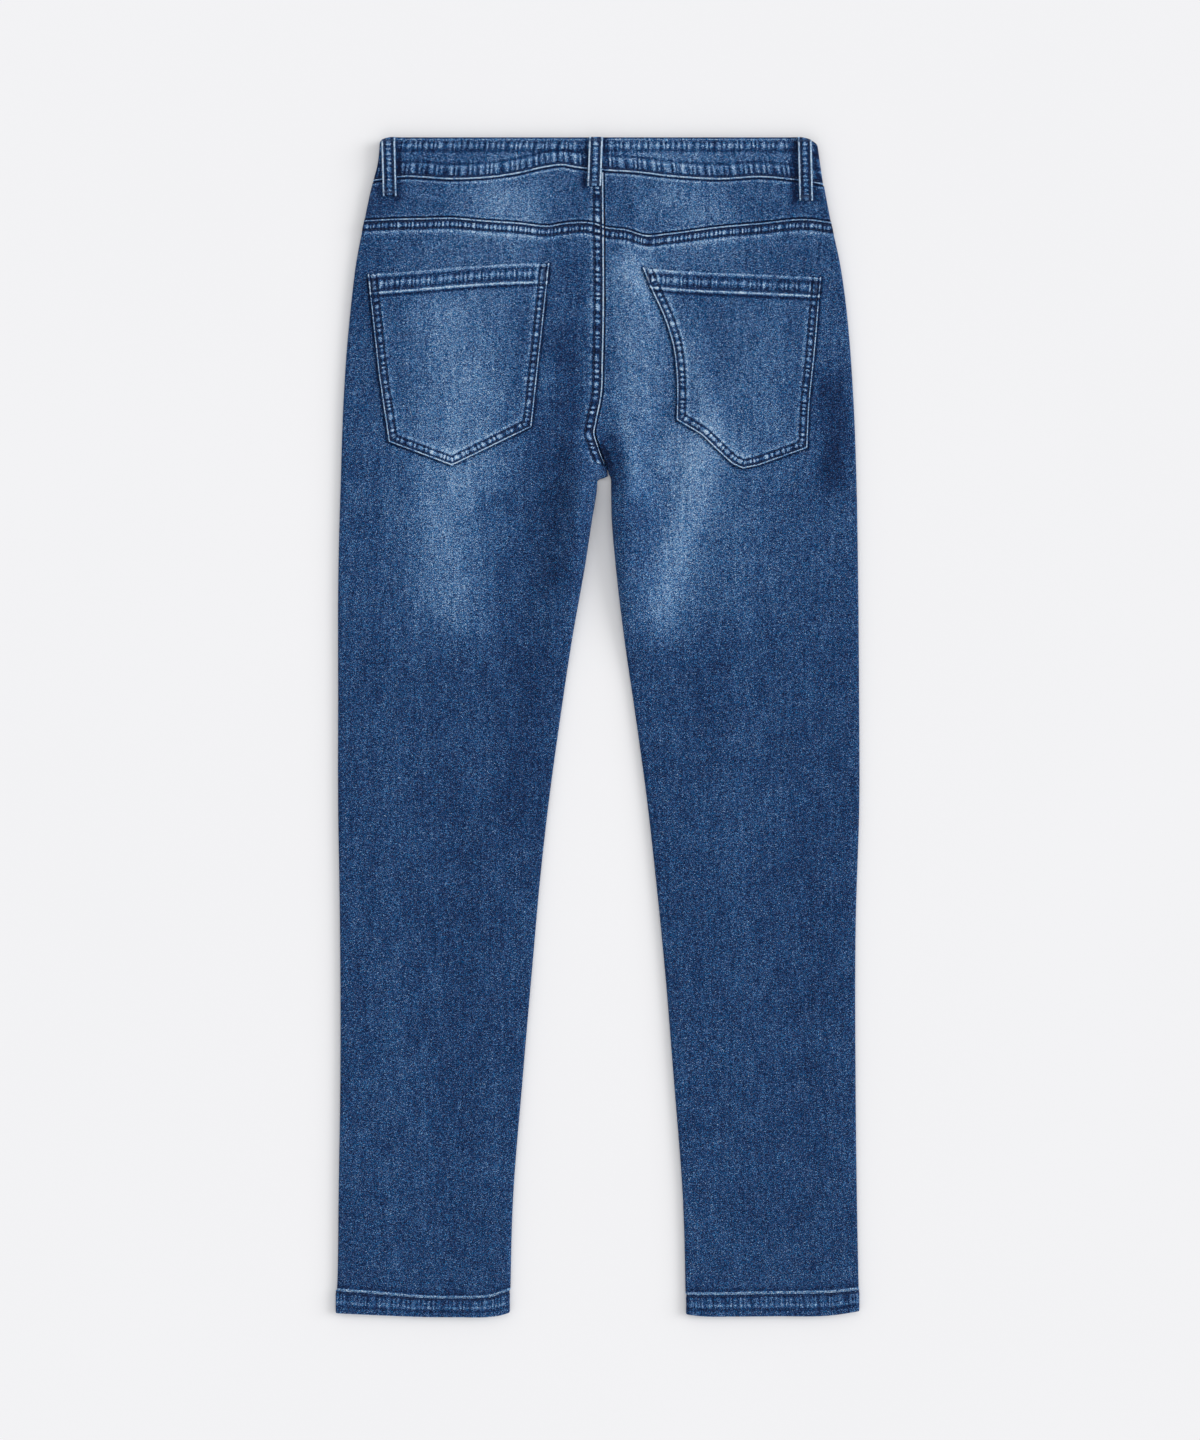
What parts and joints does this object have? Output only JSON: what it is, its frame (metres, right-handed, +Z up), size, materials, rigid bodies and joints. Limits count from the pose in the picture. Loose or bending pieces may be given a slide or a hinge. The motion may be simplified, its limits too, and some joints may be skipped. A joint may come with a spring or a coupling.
{
  "type": "skinny jeans",
  "caption": "Skinny stretch-denim jeans laid flat on their front, back uppermost, with yoke, patch pockets, belt loops and stitched hems.",
  "frame": {"origin": "middle of the bounding box on the surface that the jeans lie on", "axes": "+X to the wearer's right, +Y from the hems towards the waist, +Z up, out of the back of the jeans"},
  "size_m": [0.4725, 1.0628, 0.0108],
  "materials": {
    "denim": "matt faded indigo stretch denim",
    "thread": "matt twisted thread",
    "zip": "satin",
    "button": "dull, aged"
  },
  "bodies": {
    "root": {"waistband": "denim", "yoke_left": "denim", "yoke_right": "denim", "back_left": "denim", "back_right": "denim", "front_left": "denim", "front_right": "denim", "front_pocket_left": "denim", "front_pocket_right": "denim", "back_pocket_left": "denim", "back_pocket_right": "denim", "hem_left": "denim", "hem_right": "denim", "loop_back": "denim", "loop_back_left": "denim", "loop_back_right": "denim", "loop_front_left": "denim", "loop_front_right": "denim", "fly_zip": "zip", "waist_button": "button"}
  },
  "joints": []
}
